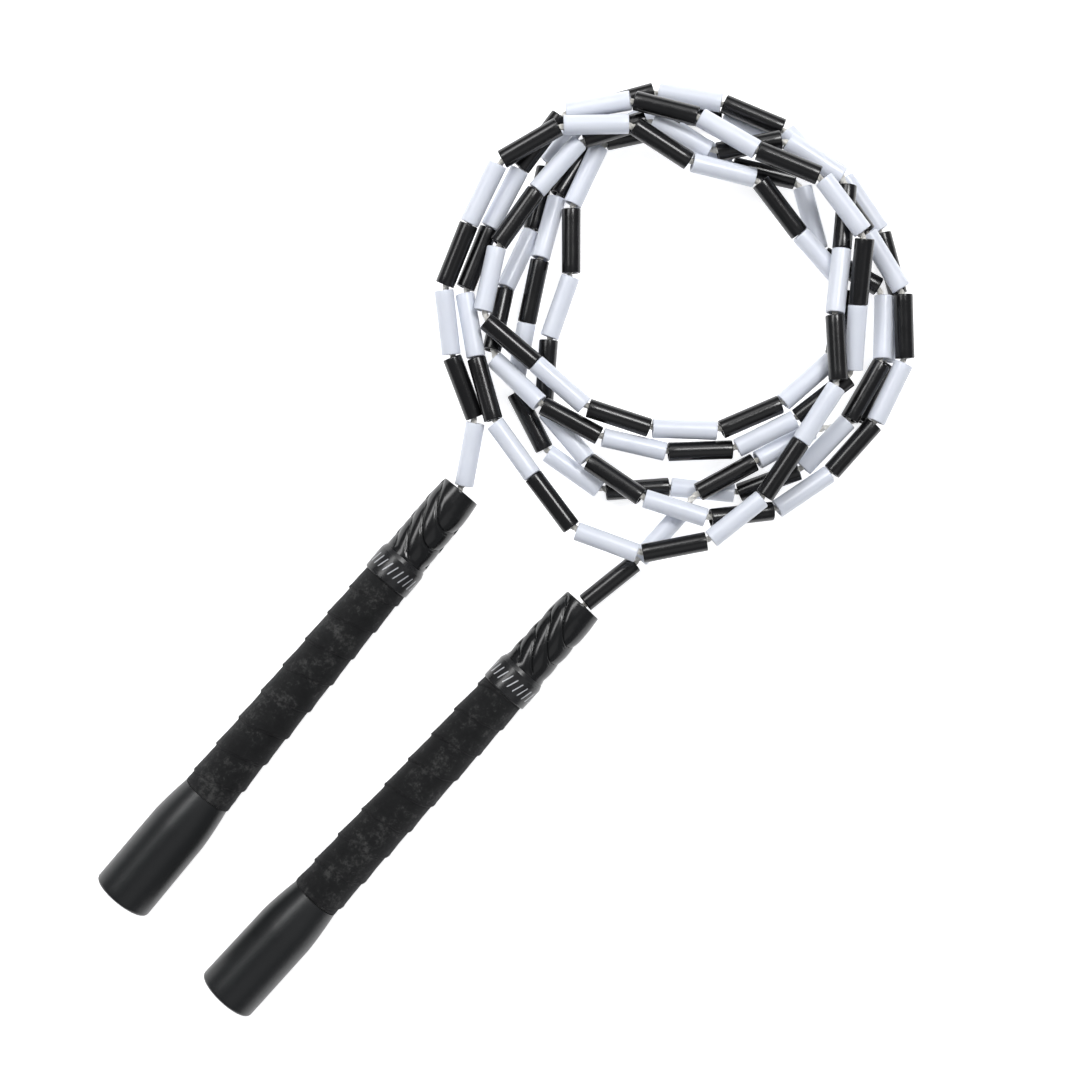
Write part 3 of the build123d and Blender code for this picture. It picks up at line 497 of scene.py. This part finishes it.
def grip_radius(start, seed):
    def radius(a, r, theta):
        if r < 9.3:
            return r
        t = (theta + math.pi) % (2 * math.pi) - math.pi
        q = (a - start) / GRIP_PITCH + theta / (2 * math.pi)
        # hand-wound: each turn's edge wanders a little
        q += 0.018 * math.sin(3 * theta + seed) + 0.012 * math.sin(5 * theta + 2.1 * math.floor(q) + seed)
        f = q % 1.0
        step = 0.62 * (f ** 1.5) - 0.30
        if f < 0.03:
            step = 0.32 - 0.62 * (f / 0.03) ** 0.8
        edge_roll = 0.10 * math.exp(-((f - 0.955) / 0.03) ** 2)
        wobble = ripple((0.035, 2 * theta + a * 0.11 + seed), (0.03, 3 * theta - a * 0.19 + 2 * seed),
                        (0.02, 5 * theta + a * 0.53 + seed), (0.02, a * 0.9 + theta + seed))
        rr = r + step + edge_roll + wobble
        end = (GRIP_END - a)
        if end < 7.0:
            # the last turn ends in a soft roll
            rr += 0.10 * math.exp(-((end - 4.2 - 0.9 * math.sin(theta)) / 0.7) ** 2)
            rr += 0.10 * math.exp(-((end - 1.2) / 0.8) ** 2)
        if a < 48.6:
            rr = min(rr, 9.9)
        return min(rr, 10.35 + 0.006 * (a - 47.0))
    return radius


def ring_outline():
    lo, hi = NECK_END + 0.02, RING_END
    outline = [(lo, 8.63), (lo, 9.45), (lo + 0.05, 9.58)]
    for s in range(1, 7):
        q = s / 6
        outline.append((lo + 0.05 + 1.5 * q, 9.58 + 0.58 * q))
    for s in range(1, 5):
        q = math.pi / 2 * s / 4
        outline.append((lo + 1.55 + 0.25 * math.sin(q), 10.16 + 0.14 * (1 - math.cos(q))))
    for s in range(1, 6):
        outline.append((lo + 1.8 + (hi - 0.45 - lo - 1.8) * s / 5, 10.3))
    for s in range(1, 5):
        q = math.pi / 2 * s / 4
        outline.append((hi - 0.45 + 0.45 * math.sin(q), 10.3 - 0.45 * (1 - math.cos(q))))
    outline.append((hi, 8.63))
    return outline


def cap_outline():
    return [(199.0, 0.01), (199.0, 5.6), (200.0, 6.18), (204.9, 6.18), (205.02, 6.3), (205.02, 9.4), (209.5, 9.4), (209.8, 9.3),
            (210.0, 9.05), (210.0, 7.6), (209.75, 7.45), (209.55, 7.2), (209.55, 6.9), (209.75, 6.65), (210.0, 6.5),
            (210.0, 2.6), (209.8, 2.3), (209.6, 1.9), (209.55, 0.8), (209.55, 0.01)]


# Ring markings: plain thin slanted ticks, evenly spaced over the top half,
# as (middle angle, from, to) with from and to in 0..1.
MARKS = [(n * 15.0, 0.0, 1.0) for n in range(-6, 7)]


def marks_piece(side, body, roll):
    tip, axis, up, right = handle_frame(side)
    vertices, faces = [], []

    def patch(corners):
        """Quad of (angle in degrees, distance) corners, bent round the ring."""
        n = 8
        base = len(vertices)
        for level, r in ((0, 10.285), (1, 10.335)):
            for i in range(n + 1):
                u = i / n
                for j in range(n + 1):
                    v = j / n
                    c = [(1 - u) * (1 - v) * corners[0][m] + u * (1 - v) * corners[1][m]
                         + u * v * corners[2][m] + (1 - u) * v * corners[3][m] for m in (0, 1)]
                    theta = math.radians(c[0] + roll)
                    vertices.append(tip + MM * (c[1] * axis + r * (math.cos(theta) * up + math.sin(theta) * right)))
        size = (n + 1) * (n + 1)
        for i in range(n):
            for j in range(n):
                q = base + i * (n + 1) + j
                faces.append((q, q + 1, q + n + 2, q + n + 1))
                q += size
                faces.append((q, q + n + 1, q + n + 2, q + 1))
        edge = [base + j for j in range(n + 1)] + [base + i * (n + 1) + n for i in range(1, n + 1)] \
            + [base + n * (n + 1) + j for j in range(n - 1, -1, -1)] + [base + i * (n + 1) for i in range(n - 1, 0, -1)]
        for k in range(len(edge)):
            m = (k + 1) % len(edge)
            faces.append((edge[k], edge[m], edge[m] + size, edge[k] + size))

    top, bottom, lean, half = 39.0, 43.8, 4.5, 1.25
    for angle, start, end in MARKS:
        corners = []
        for place, width in ((start, -half), (start, half), (end, half), (end, -half)):
            corners.append((angle + lean * (1 - 2 * place) + width, top + (bottom - top) * place))
        patch(corners)
    return mesh_object("ring_marks_" + side, vertices, faces, body, smooth=False)


handle_pieces = {}
for side, roll, grip_start, seed in (("left", 0.0, 54.6, 0.4), ("right", 13.0, 47.8, 2.9)):
    body = "handle_" + side
    shell = revolve("handle_shell_" + side, side, neck_outline(), body, n_sides=256,
                    radius=neck_radius, roll=math.radians(roll), sharp_angle=35)
    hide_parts("handle_%s_body" % side)
    grip = revolve("overgrip_wound_" + side, side, grip_outline(), body, n_sides=160,
                   radius=grip_radius(grip_start, seed), sharp_angle=60)
    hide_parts("handle_%s_overgrip" % side)
    ring = revolve("finishing_ring_" + side, side, ring_outline(), body, n_sides=128, sharp_angle=40)
    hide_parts("handle_%s_ring" % side)
    cap = revolve("end_cap_moulded_" + side, side, cap_outline(), body, n_sides=96, sharp_angle=40)
    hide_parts("handle_%s_end_cap" % side)
    marks = marks_piece(side, body, 0.0)
    handle_pieces[side] = {"shell": shell, "grip": grip, "ring": ring, "cap": cap, "marks": marks}

# --------------------------------------------------------------- materials


def material(name, color, roughness, specular=0.5):
    m = bpy.data.materials.new(name)
    m.use_nodes = True
    nodes, links = m.node_tree.nodes, m.node_tree.links
    shader = nodes["Principled BSDF"]
    shader.inputs["Base Color"].default_value = (*color, 1.0)
    shader.inputs["Roughness"].default_value = roughness
    shader.inputs["Specular IOR Level"].default_value = specular
    return m, nodes, links, shader


def coordinates(nodes):
    return nodes.new("ShaderNodeTexCoord")


def noise(nodes, links, coords, scale, detail=6.0, rough=0.6):
    n = nodes.new("ShaderNodeTexNoise")
    n.inputs["Scale"].default_value = scale
    n.inputs["Detail"].default_value = detail
    n.inputs["Roughness"].default_value = rough
    links.new(coords.outputs["Object"], n.inputs["Vector"])
    return n


def ramp(nodes, links, source, stops):
    r = nodes.new("ShaderNodeValToRGB")
    while len(r.color_ramp.elements) < len(stops):
        r.color_ramp.elements.new(0.5)
    for element, (place, color) in zip(r.color_ramp.elements, stops):
        element.position = place
        element.color = (*color, 1.0) if len(color) == 3 else color
    links.new(source, r.inputs["Fac"])
    return r


def spread(nodes, links, source, low, high, from_low=0.3, from_high=0.7):
    m = nodes.new("ShaderNodeMapRange")
    m.inputs["From Min"].default_value = from_low
    m.inputs["From Max"].default_value = from_high
    m.inputs["To Min"].default_value = low
    m.inputs["To Max"].default_value = high
    links.new(source, m.inputs["Value"])
    return m


def bump(nodes, links, height, strength, distance, normal=None):
    b = nodes.new("ShaderNodeBump")
    b.inputs["Strength"].default_value = strength
    b.inputs["Distance"].default_value = distance
    links.new(height, b.inputs["Height"])
    if normal is not None:
        links.new(normal, b.inputs["Normal"])
    return b


def moulded(name, dark, light, rough_low, rough_high, grain_scale, grain_strength, specular=0.5, grain_distance=0.00008):
    """Moulded plastic: faint colour drift, uneven polish, fine grain."""
    m, nodes, links, shader = material(name, dark, rough_low, specular)
    c = coordinates(nodes)
    broad = noise(nodes, links, c, 60.0, 4.0)
    color = ramp(nodes, links, broad.outputs["Fac"], [(0.3, dark), (0.7, light)])
    links.new(color.outputs["Color"], shader.inputs["Base Color"])
    polish = noise(nodes, links, c, 210.0, 8.0, 0.7)
    links.new(spread(nodes, links, polish.outputs["Fac"], rough_low, rough_high).outputs["Result"], shader.inputs["Roughness"])
    grain = noise(nodes, links, c, grain_scale, 3.0, 0.5)
    links.new(bump(nodes, links, grain.outputs["Fac"], grain_strength, grain_distance).outputs["Normal"], shader.inputs["Normal"])
    return m, nodes, links, shader


white_plastic, nodes, links, shader = moulded("bead_white", (0.66, 0.692, 0.770), (0.70, 0.730, 0.800), 0.27, 0.36, 900.0, 0.10)
shader.inputs["Subsurface Weight"].default_value = 0.12
shader.inputs["Subsurface Radius"].default_value = (0.002, 0.002, 0.0023)
shader.inputs["Subsurface Scale"].default_value = 1.0
black_plastic, nodes, links, shader = moulded("bead_black", (0.0030, 0.0030, 0.0034), (0.0055, 0.0055, 0.0060), 0.19, 0.27, 900.0, 0.10)
neck_plastic, nodes, links, shader = moulded("neck_plastic", (0.0022, 0.0024, 0.0027), (0.0042, 0.0045, 0.0050), 0.17, 0.26, 1600.0, 0.12)
butt_plastic, nodes, links, shader = moulded("butt_plastic", (0.0038, 0.0046, 0.0051), (0.0056, 0.0065, 0.0071), 0.34, 0.40, 2200.0, 0.20)
ring_plastic, nodes, links, shader = moulded("ring_plastic", (0.0075, 0.0078, 0.0085), (0.011, 0.0113, 0.012), 0.24, 0.33, 1500.0, 0.10)
cap_rubber, nodes, links, shader = moulded("cap_rubber", (0.013, 0.013, 0.014), (0.022, 0.022, 0.023), 0.55, 0.70, 1200.0, 0.35)
mark_paint, nodes, links, shader = moulded("mark_paint", (0.42, 0.43, 0.45), (0.58, 0.59, 0.61), 0.30, 0.42, 1200.0, 0.10)
washer_steel, nodes, links, shader = moulded("washer_steel", (0.52, 0.52, 0.53), (0.62, 0.62, 0.63), 0.25, 0.40, 700.0, 0.2)
shader.inputs["Metallic"].default_value = 1.0

# Suede-like tape: matt, dark, with a fine nap; the pale mottle in its colour is painted sheen, standing in for the
# tape's mottled highlights.
tape, nodes, links, shader = material("overgrip_suede", (0.02, 0.02, 0.021), 0.9, 0.25)
c = coordinates(nodes)
mottle = noise(nodes, links, c, 620.0, 12.0, 0.84)
patches = noise(nodes, links, c, 110.0, 6.0, 0.7)
# mask of the painted sheen: where mottle and patches both run high, the tape is painted pale
painted_sheen_mask = nodes.new("ShaderNodeMath")
painted_sheen_mask.operation = 'MULTIPLY'
links.new(mottle.outputs["Fac"], painted_sheen_mask.inputs[0])
links.new(patches.outputs["Fac"], painted_sheen_mask.inputs[1])
# the pale stop of this ramp is painted sheen, mottled highlights put into the tape's colour
tone = ramp(nodes, links, painted_sheen_mask.outputs["Value"], [(0.18, (0.0040, 0.0042, 0.0046)), (0.27, (0.0085, 0.0088, 0.0092)), (0.37, (0.050, 0.050, 0.049))])
links.new(tone.outputs["Color"], shader.inputs["Base Color"])
links.new(spread(nodes, links, mottle.outputs["Fac"], 0.78, 0.98).outputs["Result"], shader.inputs["Roughness"])
shader.inputs["Sheen Weight"].default_value = 0.12
shader.inputs["Sheen Roughness"].default_value = 0.55
shader.inputs["Sheen Tint"].default_value = (0.55, 0.55, 0.56, 1.0)
nap = noise(nodes, links, c, 2600.0, 4.0, 0.7)
coarse = bump(nodes, links, mottle.outputs["Fac"], 0.55, 0.00022)
links.new(bump(nodes, links, nap.outputs["Fac"], 0.75, 0.00010, coarse.outputs["Normal"]).outputs["Normal"], shader.inputs["Normal"])

# Cord: off-white nylon strands with fine filaments.
nylon, nodes, links, shader = material("cord_nylon", (0.78, 0.76, 0.70), 0.6, 0.4)
c = coordinates(nodes)
tone_noise = noise(nodes, links, c, 420.0, 6.0)
tone = ramp(nodes, links, tone_noise.outputs["Fac"], [(0.3, (0.60, 0.58, 0.53)), (0.7, (0.84, 0.825, 0.78))])
links.new(tone.outputs["Color"], shader.inputs["Base Color"])
links.new(spread(nodes, links, tone_noise.outputs["Fac"], 0.5, 0.72).outputs["Result"], shader.inputs["Roughness"])
filament = noise(nodes, links, c, 3800.0, 3.0)
links.new(bump(nodes, links, filament.outputs["Fac"], 0.5, 0.0001).outputs["Normal"], shader.inputs["Normal"])
shader.inputs["Sheen Weight"].default_value = 0.2


def paint(ob, *materials):
    ob.data.materials.clear()
    for m in materials:
        ob.data.materials.append(m)


paint(cord, nylon)
for knot in knot_pieces:
    paint(knot, nylon)
for ob in bead_pieces:
    paint(ob, white_plastic if ob.name.endswith("white") else black_plastic)
for side, made in handle_pieces.items():
    paint(made["shell"], neck_plastic, butt_plastic)
    tip, axis = HANDLES[side]
    for polygon in made["shell"].data.polygons:
        if (np.array(polygon.center[:]) - tip).dot(axis) > 0.1:
            polygon.material_index = 1
    paint(made["grip"], tape)
    paint(made["ring"], ring_plastic)
    paint(made["cap"], cap_rubber)
    paint(made["marks"], mark_paint)
    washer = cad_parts["washer_" + side]
    paint(washer, washer_steel)

# ------------------------------------------------------- floor and lights
floor_data = bpy.data.meshes.new("floor")
bm = bmesh.new()
bmesh.ops.create_grid(bm, x_segments=2, y_segments=2, size=30.0)
bm.to_mesh(floor_data)
bm.free()
floor = bpy.data.objects.new("floor", floor_data)
floor.location = (0.0, 0.1, -0.0004)
collection.objects.link(floor)
floor_material, nodes, links, shader = material("floor", (0.93, 0.93, 0.935), 0.9, 0.1)
shader.inputs["Emission Color"].default_value = (1.0, 1.0, 1.0, 1.0)
shader.inputs["Emission Strength"].default_value = 0.70
floor.data.materials.append(floor_material)

world = bpy.data.worlds.new("studio")
world.use_nodes = True
world.node_tree.nodes["Background"].inputs["Color"].default_value = (0.93, 0.95, 1.0, 1.0)
world.node_tree.nodes["Background"].inputs["Strength"].default_value = 0.28
scene.world = world
scene.view_settings.view_transform = 'Standard'

UP_IN_VIEW = math.radians(131.2)      # direction of the view's top, about +Z


def area_light(name, along, across, height, size, size_y, energy, target=(0.0, 0.11, 0.01), color=(1.0, 1.0, 1.0)):
    """Soft box placed relative to the view: along its top, across to its right."""
    data = bpy.data.lights.new(name, 'AREA')
    data.shape = 'RECTANGLE'
    data.size, data.size_y = size, size_y
    data.energy = energy
    data.color = color
    ob = bpy.data.objects.new(name, data)
    top = Vector((math.cos(UP_IN_VIEW), math.sin(UP_IN_VIEW), 0.0))
    right = Vector((math.cos(UP_IN_VIEW - math.pi / 2), math.sin(UP_IN_VIEW - math.pi / 2), 0.0))
    place = Vector(target) + top * along + right * across + Vector((0.0, 0.0, height))
    ob.location = place
    ob.rotation_euler = (Vector(target) - place).to_track_quat('-Z', 'Y').to_euler()
    collection.objects.link(ob)
    return ob


area_light("key_box", 0.58, 0.42, 1.20, 0.40, 0.34, 9.0)
area_light("side_box", 0.62, -0.55, 1.10, 0.95, 0.40, 7.5)
area_light("top_box", 1.10, -0.10, 1.10, 1.20, 0.60, 3.5)
area_light("fill_box", -0.9, 0.3, 1.5, 1.6, 1.2, 2.0)
